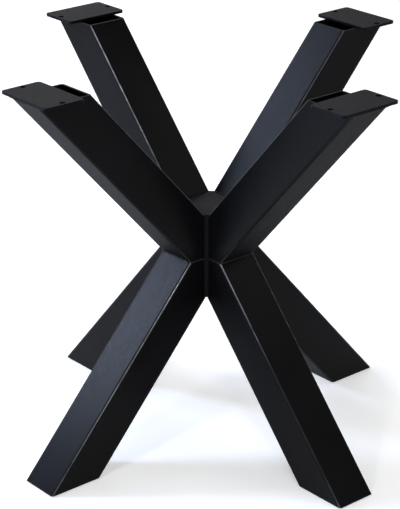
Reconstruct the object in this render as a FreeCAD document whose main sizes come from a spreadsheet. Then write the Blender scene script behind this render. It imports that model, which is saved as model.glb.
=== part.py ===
# X-shaped table base: four chevrons of square steel tube, welded round an upright hub.
# Millimetres, +Z up. The origin is on the floor, under the hub's axis. The chevrons stand on the
# diagonals, so that the sides of a table top run along X and Y.
import FreeCAD, Part
import os
import Sketcher

# Driving dimensions. A reach is measured outwards from the hub's axis.
SIZES = {
    "base_height": 720,      # floor to the upper faces of the top plates
    "arm_reach": 394.5,      # outer edge of the level cut on an arm or a leg
    "crotch_reach": 77,      # point of the V between an arm and its leg
    "tube_side": 80,         # square tube, outside
    "tube_wall": 3,
    "tube_bend": 2,          # inside radius of the tube's corners
    "hub_strip": 3.2,        # how far the hub stands out between neighbouring tubes
    "hub_overrun": 0.6,      # how far the hub runs on past the height where neighbouring tubes part
    "hub_wall": 5,
    "disc_thickness": 8,     # discs that close the hub
    "plate_thickness": 5,
    "plate_length": 78,      # along the arm
    "plate_wing": 22.5,      # past each side of the tube
    "plate_lip": 2,          # past the outer edge of the tube
    "plate_corner": 6,
    "hole_diameter": 10,
    "hole_edge": 3,          # steel left between a hole and the end of its wing
    "foot_thickness": 4,     # plate let into the end of a leg
    "glide_diameter": 50,
    "glide_thickness": 2,
    "weld_gap": 0.3,         # root gap wherever one piece is let into another or coped round it
}

# The corners that the chevrons point to, in turn from +X towards +Y. Front is -Y and left is -X.
CORNERS = ("back_right", "back_left", "front_left", "front_right")

# Heights and angles of the chevrons, worked out from the driving dimensions.
TUBE_TOP = "(sizes.base_height - sizes.plate_thickness)"
HALF_SPAN = f"(({TUBE_TOP} - sizes.glide_thickness) / 2)"
MIDDLE = f"(sizes.glide_thickness + {HALF_SPAN})"
TILT = f"atan({HALF_SPAN} / (sizes.arm_reach - sizes.crotch_reach))"
LEVEL_CUT = f"(sizes.tube_side / sin({TILT}))"
AXIS_REACH = f"(sizes.crotch_reach - {LEVEL_CUT} / 2)"
STOCK = f"(2 * ({HALF_SPAN} / sin({TILT}) + sizes.tube_side))"

# The tube's section.
TUBE_CORNER = "(sizes.tube_bend + sizes.tube_wall)"
TUBE_BORE = "(sizes.tube_side - 2 * sizes.tube_wall)"
FOOT_SIDE = f"({TUBE_BORE} - 2 * sizes.weld_gap)"

# The hub covers the height over which the rounded edges of neighbouring tubes would run into each other.
LEVEL_CORNER = f"({TUBE_CORNER} / sin({TILT}))"
EDGE_REACH = (
    f"(sizes.tube_side / 2 - {TUBE_CORNER} - {LEVEL_CORNER}"
    f" + sqrt({TUBE_CORNER}^2 + {LEVEL_CORNER}^2))"
)
EDGE_HEIGHT = f"(({EDGE_REACH} + {LEVEL_CUT} - sizes.crotch_reach) * tan({TILT}))"
HUB_HALF = f"({EDGE_HEIGHT} + sizes.hub_overrun)"
HUB_RADIUS = "(sizes.tube_side / sqrt(2) + sizes.hub_strip)"
HUB_BORE = f"({HUB_RADIUS} - sizes.hub_wall)"

# The plates on the arms and the glides under the legs.
PLATE_WIDTH = "(sizes.tube_side + 2 * sizes.plate_wing)"
PLATE_CENTRE = "(sizes.arm_reach + sizes.plate_lip - sizes.plate_length / 2)"
HOLE_REACH = f"({PLATE_WIDTH} / 2 - sizes.hole_edge - sizes.hole_diameter / 2)"
FOOT_CENTRE = f"(sizes.arm_reach - {LEVEL_CUT} / 2)"

UP = FreeCAD.Vector(0, 0, 1)
OUTWARD = FreeCAD.Vector(1, 0, 0)


def fill_sheet(doc):
    """Writes the driving dimensions to the document's sheet, each under its own alias."""
    sheet = doc.addObject("Spreadsheet::Sheet", "sizes")
    for row, (alias, number) in enumerate(SIZES.items(), start=1):
        sheet.set(f"A{row}", alias)
        sheet.set(f"B{row}", str(number))
        sheet.setAlias(f"B{row}", alias)
    doc.recompute()


def new_body(doc, name, height, turn=FreeCAD.Rotation()):
    """Adds a body whose own origin lies at a height above the floor, turned as given."""
    body = doc.addObject("PartDesign::Body", name)
    body.Label = name
    body.Placement = FreeCAD.Placement(FreeCAD.Vector(), turn)
    body.setExpression("Placement.Base.z", height)
    return body


def origin_plane(body, role):
    """Finds one of the body's own origin planes."""
    return next(item for item in body.Origin.OriginFeatures if item.Role == role)


def new_sketch(body, name, role="XY_Plane", **offsets):
    """Adds a sketch on an origin plane, shifted along the plane's x, y or z by expressions."""
    sketch = body.newObject("Sketcher::SketchObject", name)
    sketch.AttachmentSupport = [(origin_plane(body, role), "")]
    sketch.MapMode = "FlatFace"
    for axis, offset in offsets.items():
        sketch.setExpression(f"AttachmentOffset.Base.{axis}", offset)
    return sketch


def dimension(sketch, kind, elements, name, size):
    """Adds a named dimension to the sketch, driven by an expression."""
    index = sketch.addConstraint(Sketcher.Constraint(kind, *elements, sketch.evalExpression(size)))
    sketch.renameConstraint(index, name)
    sketch.setExpression(f"Constraints.{name}", size)


def draw_circle(sketch, name, radius, rise="0"):
    """Draws a circle on the sketch's y axis, a rise above the origin."""
    centre = FreeCAD.Vector(0, sketch.evalExpression(rise), 0)
    circle = sketch.addGeometry(Part.Circle(centre, UP, sketch.evalExpression(radius)))
    sketch.addConstraint(Sketcher.Constraint("PointOnObject", circle, 3, -2))
    dimension(sketch, "DistanceY", (-1, 1, circle, 3), f"{name}_rise", rise)
    dimension(sketch, "Radius", (circle,), f"{name}_radius", radius)


def draw_rounded_rectangle(sketch, name, width, depth, corner):
    """Draws a rectangle with round corners about the sketch's origin."""
    half_x = sketch.evalExpression(width) / 2
    half_y = sketch.evalExpression(depth) / 2
    radius = sketch.evalExpression(corner)
    flat_x = half_x - radius
    flat_y = half_y - radius
    sides = [
        ((-flat_x, -half_y), (flat_x, -half_y)),
        ((half_x, -flat_y), (half_x, flat_y)),
        ((flat_x, half_y), (-flat_x, half_y)),
        ((-half_x, flat_y), (-half_x, -flat_y)),
    ]
    centres = [(flat_x, -flat_y), (flat_x, flat_y), (-flat_x, flat_y), (-flat_x, -flat_y)]
    lines = [
        sketch.addGeometry(Part.LineSegment(FreeCAD.Vector(*start), FreeCAD.Vector(*end)))
        for start, end in sides
    ]
    arcs = []
    for quarter, centre in enumerate(centres):
        circle = Part.Circle(FreeCAD.Vector(*centre), UP, radius)
        start = FreeCAD.Units.Quantity(f"{90 * (quarter - 1)} deg").getValueAs("rad").Value
        end = FreeCAD.Units.Quantity(f"{90 * quarter} deg").getValueAs("rad").Value
        arcs.append(sketch.addGeometry(Part.ArcOfCircle(circle, start, end)))
    for quarter in range(4):
        following = lines[(quarter + 1) % 4]
        sketch.addConstraint(Sketcher.Constraint("Tangent", lines[quarter], 2, arcs[quarter], 1))
        sketch.addConstraint(Sketcher.Constraint("Tangent", arcs[quarter], 2, following, 1))
    for line in lines[0::2]:
        sketch.addConstraint(Sketcher.Constraint("Horizontal", line))
    for line in lines[1::2]:
        sketch.addConstraint(Sketcher.Constraint("Vertical", line))
    for arc in arcs[1:]:
        sketch.addConstraint(Sketcher.Constraint("Equal", arcs[0], arc))
    sketch.addConstraint(Sketcher.Constraint("Symmetric", lines[0], 1, lines[2], 1, -1, 1))
    dimension(sketch, "DistanceX", (lines[3], 1, lines[1], 1), f"{name}_width", width)
    dimension(sketch, "DistanceY", (lines[0], 1, lines[2], 1), f"{name}_depth", depth)
    dimension(sketch, "Radius", (arcs[0],), f"{name}_corner", corner)


def pad(body, sketch, length, side="One side"):
    """Raises a sketch into a solid."""
    feature = body.newObject("PartDesign::Pad", f"{sketch.Name}_pad")
    feature.Profile = sketch
    feature.SideType = side
    feature.setExpression("Length", length)


def cut_round(body, name, radius, start, depth, upward):
    """Cuts away a round region that begins at a height in the body and runs up or down from there."""
    sketch = new_sketch(body, f"{name}_outline", z=start)
    draw_circle(sketch, name, radius)
    feature = body.newObject("PartDesign::Pocket", name)
    feature.Profile = sketch
    feature.Reversed = upward
    feature.setExpression("Length", depth)


def sloping_bar(body, sections, low, high):
    """Makes a length of square bar or tube along the arm's slope and saws both its ends level."""
    sketch = new_sketch(body, "section", "YZ_Plane", z=AXIS_REACH)
    sketch.AttachmentOffset = FreeCAD.Placement(FreeCAD.Vector(), FreeCAD.Rotation(OUTWARD, -1))
    sketch.setExpression("AttachmentOffset.Rotation.Angle", f"-{TILT}")
    for name, (side, corner) in sections.items():
        draw_rounded_rectangle(sketch, name, side, side, corner)
    pad(body, sketch, STOCK, "Symmetric")
    cut_round(body, "lower_saw_cut", STOCK, low, STOCK, upward=False)
    cut_round(body, "upper_saw_cut", STOCK, high, STOCK, upward=True)


def make_tube(body, hub_end):
    """Makes an arm, or a leg turned upside down: a tube mitred at its foot and coped round the hub."""
    walls = {
        "outside": ("sizes.tube_side", TUBE_CORNER),
        "inside": (TUBE_BORE, "sizes.tube_bend"),
    }
    sloping_bar(body, walls, "0", HALF_SPAN)
    cut_round(body, "hub_cope", f"{HUB_RADIUS} + sizes.weld_gap", "0", f"{hub_end} + sizes.weld_gap", True)


def make_foot_plate(body):
    """Makes the plate that closes a leg, upside down as the leg is, with edges that follow the bore."""
    edges = {"edge": (FOOT_SIDE, "sizes.tube_bend")}
    sloping_bar(body, edges, f"{HALF_SPAN} - sizes.foot_thickness", HALF_SPAN)


def make_top_plate(body):
    """Makes the plate on an arm, with a screw hole in each of its wings."""
    outline = new_sketch(body, "plate_outline", x=PLATE_CENTRE)
    draw_rounded_rectangle(outline, "plate", "sizes.plate_length", PLATE_WIDTH, "sizes.plate_corner")
    pad(body, outline, "sizes.plate_thickness")
    hole_outline = new_sketch(body, "hole_outline", x=PLATE_CENTRE)
    draw_circle(hole_outline, "hole", "sizes.hole_diameter / 2", HOLE_REACH)
    hole = body.newObject("PartDesign::Pocket", "screw_hole")
    hole.Profile = hole_outline
    hole.Type = "ThroughAll"
    hole.Reversed = True
    other_hole = body.newObject("PartDesign::Mirrored", "other_screw_hole")
    other_hole.Originals = [hole]
    other_hole.MirrorPlane = (origin_plane(body, "XZ_Plane"), [""])
    body.Tip = other_hole


def make_round(body, radii, length, side="One side", reach="0"):
    """Makes an upright disc from one radius, or a pipe from an outer and an inner one."""
    sketch = new_sketch(body, "round_outline", x=reach)
    for name, radius in radii.items():
        draw_circle(sketch, name, radius)
    pad(body, sketch, length, side)


def build_hub(doc):
    """Builds the pipe and the two discs that close it."""
    make_round(
        new_body(doc, "hub_tube", MIDDLE),
        {"outside": HUB_RADIUS, "inside": HUB_BORE},
        f"2 * {HUB_HALF}",
        "Symmetric",
    )
    make_round(
        new_body(doc, "hub_top_disc", f"{MIDDLE} + {HUB_HALF}"),
        {"edge": HUB_RADIUS},
        "sizes.disc_thickness",
    )
    make_round(
        new_body(doc, "hub_bottom_disc", f"{MIDDLE} - {HUB_HALF}"),
        {"edge": f"{HUB_BORE} - sizes.weld_gap"},
        "sizes.disc_thickness",
    )


def build_chevron(doc, corner, angle):
    """Builds one arm and leg, with the arm's plate and the leg's foot plate and glide."""
    upright = FreeCAD.Rotation(UP, angle)
    inverted = upright * FreeCAD.Rotation(OUTWARD, 180)
    make_tube(new_body(doc, f"upper_arm_{corner}", MIDDLE, upright), f"{HUB_HALF} + sizes.disc_thickness")
    make_tube(new_body(doc, f"lower_leg_{corner}", MIDDLE, inverted), HUB_HALF)
    make_top_plate(new_body(doc, f"top_plate_{corner}", TUBE_TOP, upright))
    make_foot_plate(new_body(doc, f"foot_plate_{corner}", MIDDLE, inverted))
    make_round(
        new_body(doc, f"floor_glide_{corner}", "0", upright),
        {"edge": "sizes.glide_diameter / 2"},
        "sizes.glide_thickness",
        reach=FOOT_CENTRE,
    )


def write_pieces(doc):
    """Checks every object of the document, then writes each body to a file named after it."""
    for item in doc.Objects:
        if "Invalid" in item.State or "Error" in item.State:
            raise RuntimeError(f"{item.Label} could not be built: {item.State}")
    bodies = [item for item in doc.Objects if item.TypeId == "PartDesign::Body"]
    for body in bodies:
        if body.Shape.isNull() or not body.Shape.isValid() or len(body.Shape.Solids) != 1:
            raise RuntimeError(f"{body.Label} is not one sound solid")
    os.makedirs("parts", exist_ok=True)
    for body in bodies:
        body.Shape.exportStep(f"parts/{body.Label}.step")


document = FreeCAD.newDocument("x_table_base")
fill_sheet(document)
build_hub(document)
for quarter_turns, corner_name in enumerate(CORNERS):
    build_chevron(document, corner_name, 90 * quarter_turns + 45)
document.recompute()
write_pieces(document)
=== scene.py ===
# %% [markdown]
# X-shaped table base
#
# The object is a welded steel base for a table. Four chevrons of square tube stand round an upright hub,
# each with a drilled plate on its arm, and everything is coated in satin black powder. The steel itself
# comes ready made, as the fixed frame. This lesson adds what a frame of solids lacks: the weld beads that
# hold the tubes together, the coating, and a studio to see it in.

import bmesh
import bpy
import numpy as np
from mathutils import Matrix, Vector


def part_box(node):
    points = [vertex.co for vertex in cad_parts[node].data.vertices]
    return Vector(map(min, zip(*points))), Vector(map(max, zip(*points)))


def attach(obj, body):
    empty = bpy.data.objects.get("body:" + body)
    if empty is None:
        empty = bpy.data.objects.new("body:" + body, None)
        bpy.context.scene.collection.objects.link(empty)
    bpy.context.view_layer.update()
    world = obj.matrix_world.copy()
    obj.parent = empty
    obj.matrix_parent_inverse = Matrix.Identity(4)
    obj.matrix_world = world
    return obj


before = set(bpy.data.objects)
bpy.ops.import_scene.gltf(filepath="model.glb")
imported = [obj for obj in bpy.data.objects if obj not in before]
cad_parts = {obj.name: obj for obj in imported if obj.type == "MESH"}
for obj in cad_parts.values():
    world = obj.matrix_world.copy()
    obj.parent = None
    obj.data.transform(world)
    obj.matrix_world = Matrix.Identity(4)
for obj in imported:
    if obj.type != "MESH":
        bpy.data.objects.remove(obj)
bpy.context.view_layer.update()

# %% [markdown]
# Sizes
#
# A bead can only lie in its seam if the script knows where the tubes meet. Most places are read from the
# frame: the hub's radius and ends, the height of the mitres and the level cuts. The tube's section, the
# two reaches and the plate's length are written down here, and the slope of the arms follows from the
# reaches and the heights.

# %% Read the sizes
TUBE_HALF = 0.040
TUBE_CORNER = 0.005
ARM_REACH = 0.3945
CROTCH_REACH = 0.077
PLATE_LENGTH = 0.078
PLATE_LIP = 0.002
ARM_ANGLES = np.radians([45, 135, 225, 315])

hub_low, hub_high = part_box("hub_tube")
arm_low, arm_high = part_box("upper_arm_back_right")
HUB_RADIUS = hub_high.x
HUB_BASE = hub_low.z
HUB_PIPE_TOP = hub_high.z
HUB_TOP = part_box("hub_top_disc")[1].z
MIDDLE = arm_low.z
ARM_TOP = arm_high.z
PLATE_INNER_REACH = ARM_REACH + PLATE_LIP - PLATE_LENGTH

SLOPE = (ARM_TOP - MIDDLE) / (ARM_REACH - CROTCH_REACH)
TILT = np.arctan(SLOPE)
ARM_AXIS = np.array([np.cos(TILT), 0.0, np.sin(TILT)])
LEVEL_CORNER = TUBE_CORNER / np.sin(TILT)
LEVEL_CUT = 2 * TUBE_HALF / np.sin(TILT)
print(f"tilt {np.degrees(TILT):.2f} deg, middle {MIDDLE:.4f} m, hub radius {HUB_RADIUS:.4f} m")

# %% [markdown]
# Camera
#
# The view is from standing height in front of the base, a few metres off, with a long lens, so that
# parallel tubes stay nearly parallel. The place and the heading were worked out from the edges of the
# tubes, and the focal length from the picture's frame of 400 by 509.

# %% Place the camera
CAMERA_PLACE = Vector((0.2300, -3.1081, 1.6537))
CAMERA_TURN = np.radians(4.53)
CAMERA_DIP = np.radians(22.84)
FOCAL_PIXELS = 1862.1
IMAGE_LONG_SIDE = 509
SENSOR = 36.0

camera_data = bpy.data.cameras.new("camera")
camera_data.sensor_width = SENSOR
camera_data.lens = FOCAL_PIXELS * SENSOR / IMAGE_LONG_SIDE
camera = bpy.data.objects.new("camera", camera_data)
bpy.context.scene.collection.objects.link(camera)
camera.location = CAMERA_PLACE
camera.rotation_euler = (np.pi / 2 - CAMERA_DIP, 0, CAMERA_TURN)
bpy.context.scene.camera = camera
print(f"lens {camera_data.lens:.1f} mm")

# %% [markdown]
# Weld beads
#
# On the real base every joint between two pieces of steel is closed by a bead: a low ridge of set metal
# with fine cross ripples, left by the torch as it steps along. A bead could be a curve with a round bevel,
# but a real one hugs both faces of its corner. So each bead here is a profile carried along the seam. At
# every station it runs from a point on one face to a point on the other, swells outwards between them,
# and closes at the root, and the ripples swell and shrink it along the way.

# %% Carry a bead along a seam
PROFILE_STEPS = 9
RIPPLE_PITCH = 0.0024
RIPPLE_STEPS = 5
RIPPLE_DEPTH = 0.35
RIPPLE_BOW = 0.55
WAVERS = ((0.08, 310, 0.0), (0.05, 790, 1.3))
TAPER_LEGS = 1.5
BEAD_ROOT = 0.0004
FEWEST_STEPS = 8


def unit(rows):
    """Scales each row of an array to length one."""
    return rows / np.linalg.norm(rows, axis=-1, keepdims=True)


def resample(path, step):
    """Spaces points evenly along a polyline: each lies at its share of the summed length of the runs."""
    runs = np.linalg.norm(np.diff(path, axis=0), axis=1)
    travelled = np.concatenate([[0.0], np.cumsum(runs)])
    count = max(int(travelled[-1] / step), FEWEST_STEPS)
    stations = np.linspace(0.0, travelled[-1], count + 1)
    points = np.stack([np.interp(stations, travelled, path[:, axis]) for axis in range(3)], axis=1)
    return points, stations


def bead_surface(path, faces, leg, crown):
    """Points of a bead as an array of stations by profile steps.

    At a station, face_a and face_b are unit vectors along the two faces, away from the seam, and out is
    the way between them. A profile point is the seam plus leg times the blend of face_a and face_b, plus
    crown times the sine of the blend's angle along out. The crown rises and falls with ripples that bow
    along the seam. The leg wavers by a few sines, each a share, a rate to the metre and a start. Both shrink
    to nothing at the two ends.
    """
    points, stations = resample(path, RIPPLE_PITCH / RIPPLE_STEPS)
    tangent = unit(np.gradient(points, axis=0))
    face_a, face_b, out = faces(points, tangent)
    angle = np.linspace(0.0, np.pi, PROFILE_STEPS)[None, :, None]
    blend = np.sin(angle / 2) ** 2
    along = stations[:, None, None]
    ripple = np.abs(np.sin(np.pi * (along / RIPPLE_PITCH - RIPPLE_BOW * np.sin(angle))))
    waver = sum((share * np.sin(along * rate + start) for share, rate, start in WAVERS), start=1.0)
    to_end = np.minimum(along, stations[-1] - along)
    taper = np.sqrt(np.clip(to_end / (TAPER_LEGS * leg), 0, 1))
    reach = leg * waver * taper
    swell = crown * taper * (1 - RIPPLE_DEPTH + RIPPLE_DEPTH * ripple) * np.sin(angle)
    arch = (
        points[:, None, :]
        + reach * ((1 - blend) * face_a[:, None, :] + blend * face_b[:, None, :])
        + swell * out[:, None, :]
    )
    root = points[:, None, :] - BEAD_ROOT * taper * out[:, None, :]
    return np.concatenate([arch, root], axis=1)


print(f"bead profile: {PROFILE_STEPS + 1} points, a ripple every {RIPPLE_PITCH * 1000:.1f} mm")

# %% [markdown]
# From surfaces to a mesh
#
# Every seam occurs four times, once for each chevron. It is worked out for an arm along +X and then turned
# about the hub. All beads of a kind go into one mesh, because they are laid in one go and wear one finish.

# %% Close the beads
MERGE_DISTANCE = 1e-6


def turned(points, angle):
    """Turns points about the hub's axis, from the arm that lies along +X to the one at an angle."""
    turn = np.array([[np.cos(angle), np.sin(angle), 0], [-np.sin(angle), np.cos(angle), 0], [0, 0, 1]])
    return points @ turn


def closed_mesh(name, surfaces):
    """Makes one object from several closed tubes, each an array of rings of points.

    Ring and point numbers give the quads: each joins two neighbours on a ring to the same two on the next.
    A ring that has shrunk to one point is merged, which closes the end.
    """
    vertices = []
    quads = []
    start = 0
    for surface in surfaces:
        rings, around, _ = surface.shape
        index = start + np.arange(rings * around).reshape(rings, around)
        beside = np.roll(index, -1, axis=1)
        quads.append(np.stack([index[:-1], beside[:-1], beside[1:], index[1:]], axis=-1).reshape(-1, 4))
        vertices.append(surface.reshape(-1, 3))
        start += rings * around
    mesh = bpy.data.meshes.new(name)
    mesh.from_pydata(np.concatenate(vertices), [], np.concatenate(quads))
    shell = bmesh.new()
    shell.from_mesh(mesh)
    bmesh.ops.remove_doubles(shell, verts=shell.verts, dist=MERGE_DISTANCE)
    bmesh.ops.recalc_face_normals(shell, faces=shell.faces)
    shell.to_mesh(mesh)
    shell.free()
    mesh.shade_smooth()
    piece = bpy.data.objects.new(name, mesh)
    bpy.context.scene.collection.objects.link(piece)
    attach(piece, "root")
    print(name, "beads:", len(surfaces), "faces:", len(mesh.polygons))
    return piece


print("chevrons at", np.degrees(ARM_ANGLES).round(), "deg")

# %% [markdown]
# Seams round a level section
#
# Cut level, the tube shows a rectangle whose corners are quarter ellipses, because the round corner is cut
# at a slant. The mitre at half height and the joint under each plate both follow three sides of it: in
# along one flank, round the outer end and back along the other flank.

# %% Follow the outer end of a level section
CORNER_STEPS = 10
MITRE_LEG, MITRE_CROWN = 0.0018, 0.0004
PLATE_LEG, PLATE_CROWN = 0.0026, 0.0005
PLATE_BEAD_INSET = 0.008
MIRROR_DOWN = np.array([1, 1, -1])


def outer_end(end_reach, flank_reach, height):
    """Path round the outer end of a level section: a flank, a quarter ellipse, the end, and back again."""
    angle = np.linspace(0, np.pi / 2, CORNER_STEPS)
    corner_x = end_reach - LEVEL_CORNER + LEVEL_CORNER * np.sin(angle)
    corner_y = TUBE_HALF - TUBE_CORNER + TUBE_CORNER * np.cos(angle)
    x = np.concatenate([[flank_reach], corner_x, corner_x[::-1], [flank_reach]])
    y = np.concatenate([[TUBE_HALF], corner_y, -corner_y[::-1], [-TUBE_HALF]])
    return np.stack([x, y, np.full_like(x, height)], axis=1)


def sideways(tangent):
    """Level direction out of the tube: the path's direction turned a quarter turn to its left."""
    return np.stack([-tangent[:, 1], tangent[:, 0], np.zeros(len(tangent))], axis=1)


def up_the_tube(tangent):
    """Direction up the tube's wall, square to the seam: the tube's axis less its share along the seam."""
    share = (tangent @ ARM_AXIS)[:, None]
    return unit(ARM_AXIS - share * tangent)


def mitre_faces(points, tangent):
    """Both faces of a mitre: up the arm's wall, and its mirror image down the leg's."""
    up = up_the_tube(tangent)
    return up, up * MIRROR_DOWN, sideways(tangent)


def plate_faces(points, tangent):
    """The underside of a plate, outwards, and the arm's wall, downwards."""
    level = sideways(tangent)
    down = -up_the_tube(tangent)
    return level, down, unit(level + down)


HUB_FLANK = np.sqrt(HUB_RADIUS**2 - TUBE_HALF**2)
mitre_seam = outer_end(CROTCH_REACH, HUB_FLANK, MIDDLE)
plate_seam = outer_end(ARM_REACH, PLATE_INNER_REACH + PLATE_BEAD_INSET, ARM_TOP)
mitre = bead_surface(mitre_seam, mitre_faces, MITRE_LEG, MITRE_CROWN)
plate = bead_surface(plate_seam, plate_faces, PLATE_LEG, PLATE_CROWN)
mitre_beads = closed_mesh("weld_mitres", [turned(mitre, angle) for angle in ARM_ANGLES])
plate_beads = closed_mesh("weld_plates", [turned(plate, angle) for angle in ARM_ANGLES])

# %% [markdown]
# Seams on the hub
#
# The hub is welded to each tube down both flanks, and the arms also lie on its top disc, where a bead
# closes the line at which the arm's upper face runs down to the disc. The legs meet the lower end of the
# pipe in the same way.

# %% Follow the hub
FLANK_LEG, FLANK_CROWN = 0.0011, 0.0003
END_LEG, END_CROWN = 0.0020, 0.0006
FLANK_RISE = 0.003
FLANK_TOP = HUB_PIPE_TOP + FLANK_RISE
END_HALF = TUBE_HALF - TUBE_CORNER


def straight(start, end):
    """A straight seam between two points."""
    return np.array([start, end], float)


def flank_faces(points, tangent):
    """The tube's flank, outwards, and the hub's wall, away from the tube: both square to the seam."""
    side = np.sign(points[:, 1:2])
    outward = np.tile([1.0, 0.0, 0.0], (len(points), 1))
    radial = unit(points * np.array([1, 1, 0]))
    wall = side * np.stack([-radial[:, 1], radial[:, 0], np.zeros(len(points))], axis=1)
    return outward, wall, unit(outward + wall)


def disc_faces(points, tangent):
    """The disc's upper face, towards the axis, and the arm's upper face, up its slope."""
    inward = np.tile([-1.0, 0.0, 0.0], (len(points), 1))
    slope = np.tile(ARM_AXIS, (len(points), 1))
    return inward, slope, unit(inward + slope)


def base_faces(points, tangent):
    """The lower end of the hub, towards the axis, and the leg's inner face, down its slope."""
    inward, slope, out = disc_faces(points, tangent)
    return inward, slope * MIRROR_DOWN, out * MIRROR_DOWN


def inner_reach(rise):
    """Reach of the arm's upper face at a height above the middle."""
    return CROTCH_REACH - LEVEL_CUT + rise / SLOPE


hub_surfaces = []
for side in (-TUBE_HALF, TUBE_HALF):
    seam = straight((HUB_FLANK, side, HUB_BASE), (HUB_FLANK, side, FLANK_TOP))
    hub_surfaces.append(bead_surface(seam, flank_faces, FLANK_LEG, FLANK_CROWN))
for height, faces in ((HUB_TOP, disc_faces), (HUB_BASE, base_faces)):
    reach = inner_reach(abs(height - MIDDLE))
    seam = straight((reach, -END_HALF, height), (reach, END_HALF, height))
    hub_surfaces.append(bead_surface(seam, faces, END_LEG, END_CROWN))
all_surfaces = [turned(surface, angle) for angle in ARM_ANGLES for surface in hub_surfaces]
hub_beads = closed_mesh("weld_hub", all_surfaces)

# %% [markdown]
# Nodes by the handful
#
# A finish in Blender is a small graph of nodes. The same few steps come back in every finish here: a noise,
# a ramp between two colours, a number spread from one range to another, two numbers joined, two colours
# mixed, and a bump. With a helper for each, a finish reads as a list of what is done to the surface. Most
# of a noise lies in the middle of its range, so a ramp or a spread uses only that span.

# %% Write the node helpers
NOISE_SPAN = (0.3, 0.7)
# A mix node has sockets for every kind of value, and these are the numbers of those for colours
MIX_FIRST, MIX_SECOND, MIX_RESULT = 6, 7, 2


def link(tree, source, socket, target, name):
    """Joins a node's output to another node's input."""
    tree.links.new(source.outputs[socket], target.inputs[name])


def noise(tree, coordinates, scale, detail):
    """Adds a noise on Object coordinates; its scale is in features to the metre."""
    node = tree.nodes.new("ShaderNodeTexNoise")
    node.inputs["Scale"].default_value = scale
    node.inputs["Detail"].default_value = detail
    link(tree, coordinates, "Object", node, "Vector")
    return node


def ramp(tree, source, colours):
    """Spreads a noise between two colours."""
    node = tree.nodes.new("ShaderNodeValToRGB")
    for stop, place, colour in zip(node.color_ramp.elements, NOISE_SPAN, colours):
        stop.position = place
        stop.color = colour
    link(tree, source, "Fac", node, "Fac")
    return node


def spread(tree, source, socket, given, wanted):
    """Maps a number from a given range to a wanted one, and holds it at both ends."""
    node = tree.nodes.new("ShaderNodeMapRange")
    node.inputs["From Min"].default_value, node.inputs["From Max"].default_value = given
    node.inputs["To Min"].default_value, node.inputs["To Max"].default_value = wanted
    link(tree, source, socket, node, "Value")
    return node


def join(tree, operation, first, second):
    """Joins two numbers: each is a node and the name of its output."""
    node = tree.nodes.new("ShaderNodeMath")
    node.operation = operation
    link(tree, *first, node, 0)
    link(tree, *second, node, 1)
    return node


def start_mix(tree, share, first):
    """Starts a mix of two colours: the share and the first colour are joined on, the second is to come."""
    node = tree.nodes.new("ShaderNodeMix")
    node.data_type = "RGBA"
    link(tree, *share, node, 0)
    tree.links.new(first, node.inputs[MIX_FIRST])
    return node


def bump(tree, height, strength, distance):
    """Adds a bump from a noise; distance is the height of its grain in metres."""
    node = tree.nodes.new("ShaderNodeBump")
    node.inputs["Strength"].default_value = strength
    node.inputs["Distance"].default_value = distance
    link(tree, height, "Fac", node, "Height")
    return node


print("noises are used from", NOISE_SPAN[0], "to", NOISE_SPAN[1])

# %% [markdown]
# Powder coat
#
# The coating is sprayed on as powder and baked, which leaves a satin black skin with a fine grain, like
# very small orange peel. Slow noise shifts its colour a little, as uneven spraying does, a quicker one
# mottles its gloss, and two fine ones make the grain, as a bump and as a change of gloss. Less powder
# reaches the faces that look down, and on level ones it lies thick and coarse, so both are duller. The
# level ones are also painted a shade greyer, which is painted light standing in for the sheen they catch
# from above. A bevelled normal rounds off the cut edges, as the thick coat does.

# %% Mix the powder coat
COAT_TONES = ((0.0034, 0.0034, 0.0040, 1), (0.0054, 0.0054, 0.0063, 1))
# Painted light: level faces get a lighter tone that stands in for the sheen they catch from above
PAINTED_TOP_LIGHT_TONES = ((0.0100, 0.0100, 0.0106, 1), (0.0140, 0.0140, 0.0148, 1))
COAT_GLOSS = (0.28, 0.36)
MOTTLE = (-0.03, 0.03)
COAT_SPECULAR = 0.055
DULL_BELOW = 0.28
DULL_LEVEL = 0.27
LOOKING_DOWN = (-0.2, -0.6)
LOOKING_UP = (0.85, 0.97)
# A noise has a scale and a detail, and a bump has a strength and a height
CLOUD_NOISE = (9, 3)
MOTTLE_NOISE = (140, 4)
GRAIN_NOISE, GRAIN_BUMP = (620, 2), (0.30, 0.00012)
FINE_NOISE, FINE_BUMP = (1700, 2), (0.25, 0.00005)
EDGE_RADIUS = 0.0009
EDGE_SAMPLES = 6


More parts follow.
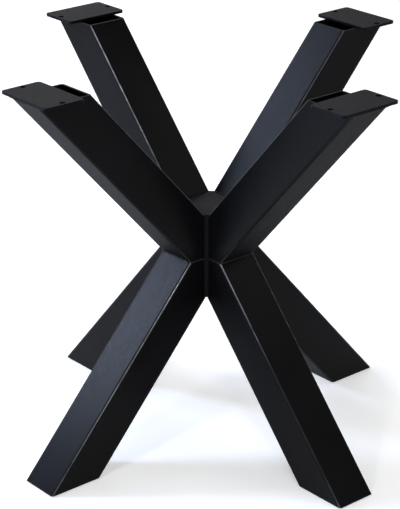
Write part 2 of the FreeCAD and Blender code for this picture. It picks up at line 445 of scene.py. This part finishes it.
def powder_coat(name):
    """Satin black coat, grained and mottled: duller below, duller on level faces and painted greyer there as
    painted light from above, soft at edges.
    """
    material = bpy.data.materials.new(name)
    material.use_nodes = True
    tree = material.node_tree
    shader = tree.nodes["Principled BSDF"]
    shader.inputs["Specular IOR Level"].default_value = COAT_SPECULAR
    coordinates = tree.nodes.new("ShaderNodeTexCoord")
    facing = tree.nodes.new("ShaderNodeSeparateXYZ")
    link(tree, coordinates, "Normal", facing, "Vector")

    cloud = noise(tree, coordinates, *CLOUD_NOISE)
    # The lighter tones are painted light from above, mixed in by how far a face looks up
    sloping, painted_top_light = ramp(tree, cloud, COAT_TONES), ramp(tree, cloud, PAINTED_TOP_LIGHT_TONES)
    level = spread(tree, facing, "Z", LOOKING_UP, (0, 1))
    tones = start_mix(tree, (level, "Result"), sloping.outputs["Color"])
    link(tree, painted_top_light, "Color", tones, MIX_SECOND)
    link(tree, tones, MIX_RESULT, shader, "Base Color")

    grain = noise(tree, coordinates, *GRAIN_NOISE)
    gloss = spread(tree, grain, "Fac", NOISE_SPAN, COAT_GLOSS)
    mottle = spread(tree, noise(tree, coordinates, *MOTTLE_NOISE), "Fac", NOISE_SPAN, MOTTLE)
    satin = join(tree, "ADD", (gloss, "Result"), (mottle, "Result"))
    below = spread(tree, facing, "Z", LOOKING_DOWN, (0, DULL_BELOW))
    coarse_flat = spread(tree, facing, "Z", LOOKING_UP, (0, DULL_LEVEL))
    dull = join(tree, "ADD", (below, "Result"), (coarse_flat, "Result"))
    link(tree, join(tree, "ADD", (satin, "Value"), (dull, "Value")), "Value", shader, "Roughness")

    edge = tree.nodes.new("ShaderNodeBevel")
    edge.samples = EDGE_SAMPLES
    edge.inputs["Radius"].default_value = EDGE_RADIUS
    coarse = bump(tree, grain, *GRAIN_BUMP)
    link(tree, edge, "Normal", coarse, "Normal")
    fine = bump(tree, noise(tree, coordinates, *FINE_NOISE), *FINE_BUMP)
    link(tree, coarse, "Normal", fine, "Normal")
    link(tree, fine, "Normal", shader, "Normal")
    return material


coat = powder_coat("satin_coat")
print("coat nodes:", len(coat.node_tree.nodes))

# %% [markdown]
# Where the corners are
#
# Powder draws back from a corner as it melts, and handling rubs what is left, so the long rounded corners
# of the tubes catch the light as thin bright lines. A map of curvature could find them, but the flat faces
# of a tube have no points in between to carry one. Here the corner is found from the place instead. All
# eight tubes fold onto one by taking the size of each coordinate, measured from the middle of the base, and
# two dot products then give the distances from that tube's axis across and through it. Only on a corner are
# both of them large, so the smaller one tells how near the corner's ridge is. Raised to the fourth power, it
# gives a narrow bright line with a soft foot.

# %% Find the corners of the tubes
CORNER_FOOT, CORNER_CREST = 0.0042, 0.0014
RUBBED_BAND = (TUBE_HALF - CORNER_FOOT, TUBE_HALF - CORNER_CREST)
ROOT_HALF = np.sqrt(0.5)


def fold(tree, operation, source, socket, constant):
    """Adds a vector step with a constant: a difference, a size, a length or a dot product."""
    node = tree.nodes.new("ShaderNodeVectorMath")
    node.operation = operation
    link(tree, source, socket, node, 0)
    node.inputs[1].default_value = constant
    return node


def size_of(tree, source, socket, offset):
    """Size of a number after an offset is added to it."""
    moved = tree.nodes.new("ShaderNodeMath")
    moved.operation = "ADD"
    link(tree, source, socket, moved, 0)
    moved.inputs[1].default_value = offset
    size = tree.nodes.new("ShaderNodeMath")
    size.operation = "ABSOLUTE"
    link(tree, moved, "Value", size, 0)
    return size


def corner_ridge(tree, coordinates):
    """Nearness to a corner of a tube.

    It is the smaller distance from the tube's axis, spread over a band near the corner, to the fourth power.
    """
    centred = fold(tree, "SUBTRACT", coordinates, "Object", (0, 0, MIDDLE))
    one_tube = fold(tree, "ABSOLUTE", centred, "Vector", (0, 0, 0))
    across = fold(tree, "DOT_PRODUCT", one_tube, "Vector", (ROOT_HALF, -ROOT_HALF, 0))
    lean = -np.sin(TILT) * ROOT_HALF
    through = fold(tree, "DOT_PRODUCT", one_tube, "Vector", (lean, lean, np.cos(TILT)))
    axis_offset = np.sin(TILT) * (CROTCH_REACH - LEVEL_CUT / 2)
    wide = size_of(tree, across, "Value", 0)
    deep = size_of(tree, through, "Value", axis_offset)
    both = join(tree, "MINIMUM", (wide, "Value"), (deep, "Value"))
    rise = spread(tree, both, "Value", RUBBED_BAND, (0, 1))
    square = join(tree, "MULTIPLY", (rise, "Result"), (rise, "Result"))
    return join(tree, "MULTIPLY", (square, "Value"), (square, "Value"))


print(f"a corner starts {RUBBED_BAND[0] * 1000:.1f} mm from the tube's axis")

# %% [markdown]
# Rubbed corners and beads
#
# Where the coat is rubbed thin, steel shows through: its colour comes into the tones, and the surface turns
# into metal by the same share. On a corner the share is broken up by a quick noise and is larger where the
# surface looks up. A slow noise makes the wear differ from tube to tube, and its seed is the one that rubs
# the same corners as on the real base. The beads of the mitres are rubbed too, in small speckles.

# %% Rub the corners and the beads
RUBBED_STEEL = (0.50, 0.51, 0.53, 1)
NOISE_CORE = (0.35, 0.65)
PATCH_NOISE, PATCH_SHARE = (45, 3), (0.34, 0.74)
WEAR_NOISE, WEAR_SEED = (3.2, 0), 12.0
WEAR_RANGE, WEAR_SHARE = (0.34, 0.50), (0.12, 1.0)
UPPER_FACING, UPPER_SHARE = (-0.15, 0.25), (0.12, 1.0)
SPECKLE_NOISE, SPECKLE_SHARE = (260, 2), (0.0, 0.07)


def show_steel(tree, share, socket):
    """Mixes steel into the coat by a share: its colour into the tones, and the share itself as metal."""
    shader = tree.nodes["Principled BSDF"]
    tones = shader.inputs["Base Color"].links[0].from_socket
    rubbed_tones = start_mix(tree, (share, socket), tones)
    rubbed_tones.inputs[MIX_SECOND].default_value = RUBBED_STEEL
    link(tree, rubbed_tones, MIX_RESULT, shader, "Base Color")
    link(tree, share, socket, shader, "Metallic")


def rub_corners(material):
    """Lets steel show on corners: the ridge times a quick noise, a slow one and how far a face looks up."""
    tree = material.node_tree
    coordinates = tree.nodes["Texture Coordinate"]
    patches = spread(tree, noise(tree, coordinates, *PATCH_NOISE), "Fac", NOISE_CORE, PATCH_SHARE)
    rubbed = join(tree, "MULTIPLY", (corner_ridge(tree, coordinates), "Value"), (patches, "Result"))
    slow = noise(tree, coordinates, *WEAR_NOISE)
    slow.noise_dimensions = "4D"
    slow.inputs["W"].default_value = WEAR_SEED
    worn = spread(tree, slow, "Fac", WEAR_RANGE, WEAR_SHARE)
    handled = join(tree, "MULTIPLY", (rubbed, "Value"), (worn, "Result"))
    upward = spread(tree, tree.nodes["Separate XYZ"], "Z", UPPER_FACING, UPPER_SHARE)
    show_steel(tree, join(tree, "MULTIPLY", (handled, "Value"), (upward, "Result")), "Value")
    return material


def rub_bead(material):
    """Lets steel show on a bead in patches: the share follows a fine noise."""
    tree = material.node_tree
    speckle = noise(tree, tree.nodes["Texture Coordinate"], *SPECKLE_NOISE)
    show_steel(tree, spread(tree, speckle, "Fac", NOISE_CORE, SPECKLE_SHARE), "Result")
    return material


tube_coat = rub_corners(powder_coat("satin_coat_rubbed"))
bead_coat = rub_bead(powder_coat("satin_coat_bead"))
print("tube coat nodes:", len(tube_coat.node_tree.nodes))

# %% [markdown]
# Glides
#
# Each foot stands on a thin disc of black plastic, moulded with a matt grain so that it does not mark the
# floor. The rest of the frame is coated steel: the tubes wear the coat with rubbed corners, and the hub, the
# plates and most beads the plain one.

# %% Mould the glides and coat the steel
GLIDE_TONES = ((0.018, 0.018, 0.018, 1), (0.028, 0.028, 0.028, 1))
GLIDE_GLOSS = (0.55, 0.7)
GLIDE_CLOUD = (60, 2)
GLIDE_GRAIN, GLIDE_BUMP = (1400, 2), (0.4, 0.00008)


def glide_plastic():
    """Matt black plastic with a moulded grain."""
    material = bpy.data.materials.new("glide_plastic")
    material.use_nodes = True
    tree = material.node_tree
    shader = tree.nodes["Principled BSDF"]
    coordinates = tree.nodes.new("ShaderNodeTexCoord")
    tones = ramp(tree, noise(tree, coordinates, *GLIDE_CLOUD), GLIDE_TONES)
    link(tree, tones, "Color", shader, "Base Color")
    grain = noise(tree, coordinates, *GLIDE_GRAIN)
    link(tree, spread(tree, grain, "Fac", NOISE_SPAN, GLIDE_GLOSS), "Result", shader, "Roughness")
    link(tree, bump(tree, grain, *GLIDE_BUMP), "Normal", shader, "Normal")
    return material


FINISHES = {"floor_glide": glide_plastic(), "upper_arm": tube_coat, "lower_leg": tube_coat}
for name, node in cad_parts.items():
    kind = "_".join(name.split("_")[:2])
    node.data.materials.clear()
    node.data.materials.append(FINISHES.get(kind, coat))
BEAD_FINISHES = ((plate_beads, coat), (hub_beads, coat), (mitre_beads, bead_coat))
for piece, finish in BEAD_FINISHES:
    piece.data.materials.append(finish)
print("finished pieces:", len(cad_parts) + len(BEAD_FINISHES))

# %% [markdown]
# Lamps
#
# Black satin shows what stands round it more than its own colour, so the lamps are placed by what each face
# mirrors. Three slightly blue panes on the left, like a tall window, give the faces that look left their
# sheen, and a low pane lights the flanks near the floor. Two small lamps behind the camera draw the thin
# bright lines along the rounded corners. A ceiling, a window and a wall on the right, and a wall behind the
# base show in the other faces.

# %% Hang the lamps
WINDOW_BLUE = (0.64, 0.75, 1.0)
WHITE = (1, 1, 1)


def area_lamp(name, place, aim, size, power, colour):
    """Adds a rectangular lamp at a place, turned to a point."""
    data = bpy.data.lights.new(name, "AREA")
    data.shape = "RECTANGLE"
    data.size, data.size_y = size
    data.energy = power
    data.color = colour
    lamp = bpy.data.objects.new(name, data)
    bpy.context.scene.collection.objects.link(lamp)
    lamp.location = place
    lamp.rotation_euler = (Vector(aim) - Vector(place)).to_track_quat("-Z", "Y").to_euler()


# Each row holds a name, a place, the point it is turned to, width and height, watts, and a colour
LAMPS = (
    ("window_low", (-2.3, 0.4, 1.4), (0, 0.1, 0.5), (0.4, 0.5), 33, WINDOW_BLUE),
    ("window_middle", (-2.3, 0.4, 1.9), (0, 0.1, 0.7), (0.4, 0.5), 13, WINDOW_BLUE),
    ("window_high", (-2.3, 1.0, 2.4), (0, 0.3, 0.9), (0.8, 0.5), 30, WINDOW_BLUE),
    ("floor_fill", (-2.3, -0.9, 0.35), (0, -0.2, 0.2), (0.45, 0.5), 16, WINDOW_BLUE),
    ("edge_lamp_left", (-2.6, -4.2, 3.6), (0, 0, 0.36), (0.5, 0.35), 55, WHITE),
    ("edge_lamp_right", (0.74, -4.2, 3.05), (0, 0, 0.36), (0.5, 0.35), 36, WHITE),
    ("ceiling", (0, 0.3, 3.6), (0, 0.3, 0), (2.0, 2.0), 28, WHITE),
    ("right_window", (2.3, -0.8, 1.7), (0, -0.2, 0.5), (0.9, 0.9), 6, WHITE),
    ("right_wall", (2.3, 0.4, 2.45), (0, 0.1, 0.5), (0.8, 0.9), 6, WHITE),
    ("back_wall", (-0.9, 3.2, 2.45), (0, 0, 0.36), (2.6, 1.0), 34, WHITE),
)
for row in LAMPS:
    area_lamp(*row)
print("lamps:", len(LAMPS))

# %% [markdown]
# Sky
#
# A dim sky fills what the lamps leave. One even grey would do, but faces that mirror the horizon or the
# front would then look flat, so it is paler at the horizon and towards the front.

# %% Paint the sky
SKY_COLOUR = (0.97, 0.98, 1.0, 1)
HORIZON_BAND, HORIZON_LIGHT = (0.0, 0.22), (0.35, 0.04)
FRONT_BAND, FRONT_LIGHT = (-0.65, -0.25), (0.25, 0.0)


def sky():
    """Dim sky: its strength is a share that falls with height plus a share that grows towards the front."""
    world = bpy.data.worlds.new("sky")
    world.use_nodes = True
    tree = world.node_tree
    background = tree.nodes["Background"]
    coordinates = tree.nodes.new("ShaderNodeTexCoord")
    split = tree.nodes.new("ShaderNodeSeparateXYZ")
    link(tree, coordinates, "Generated", split, "Vector")
    horizon = spread(tree, split, "Z", HORIZON_BAND, HORIZON_LIGHT)
    front = spread(tree, split, "Y", FRONT_BAND, FRONT_LIGHT)
    strength = join(tree, "ADD", (horizon, "Result"), (front, "Result"))
    link(tree, strength, "Value", background, "Strength")
    background.inputs["Color"].default_value = SKY_COLOUR
    bpy.context.scene.world = world


sky()
print("sky at the horizon:", HORIZON_LIGHT[0], "overhead:", HORIZON_LIGHT[1])

# %% [markdown]
# Floor
#
# The base stands on a plain pale floor. More light would make it white but would also bleach the steel, so
# the floor adds some light of its own, only for the eye and for reflections. It keeps the shadow, because
# that light alone is less than white.

# %% Lay the floor
FLOOR_HALF = 20.0
FLOOR_COLOUR = (0.80, 0.80, 0.80, 1)
FLOOR_ROUGHNESS = 0.9
FLOOR_GLOW = (0.42, 0.88)
FLOOR_GLOW_REACH = (1.8, 6.5)


def pale_floor():
    """Matt pale floor with a glow for the rays that look at it, but not for those that light things.

    The glow grows with the distance from the base, where less of the lamps' light arrives.
    """
    mesh = bpy.data.meshes.new("floor")
    corners = FLOOR_HALF * np.array([(-1, -1, 0), (1, -1, 0), (1, 1, 0), (-1, 1, 0)])
    mesh.from_pydata(corners, [], [(0, 1, 2, 3)])
    floor = bpy.data.objects.new("floor", mesh)
    bpy.context.scene.collection.objects.link(floor)
    material = bpy.data.materials.new("floor_paint")
    material.use_nodes = True
    tree = material.node_tree
    shader = tree.nodes["Principled BSDF"]
    shader.inputs["Base Color"].default_value = FLOOR_COLOUR
    shader.inputs["Roughness"].default_value = FLOOR_ROUGHNESS
    shader.inputs["Specular IOR Level"].default_value = 0.0
    shader.inputs["Emission Color"].default_value = (1, 1, 1, 1)
    rays = tree.nodes.new("ShaderNodeLightPath")
    direct = join(tree, "MAXIMUM", (rays, "Is Camera Ray"), (rays, "Is Glossy Ray"))
    seen = join(tree, "MAXIMUM", (direct, "Value"), (rays, "Is Transmission Ray"))
    away = fold(tree, "LENGTH", tree.nodes.new("ShaderNodeTexCoord"), "Object", (0, 0, 0))
    glow = spread(tree, away, "Value", FLOOR_GLOW_REACH, FLOOR_GLOW)
    strength = join(tree, "MULTIPLY", (seen, "Value"), (glow, "Result"))
    link(tree, strength, "Value", shader, "Emission Strength")
    mesh.materials.append(material)


pale_floor()
bpy.context.scene.view_settings.view_transform = "Standard"
print("floor glow:", FLOOR_GLOW[0], "near,", FLOOR_GLOW[1], "far")
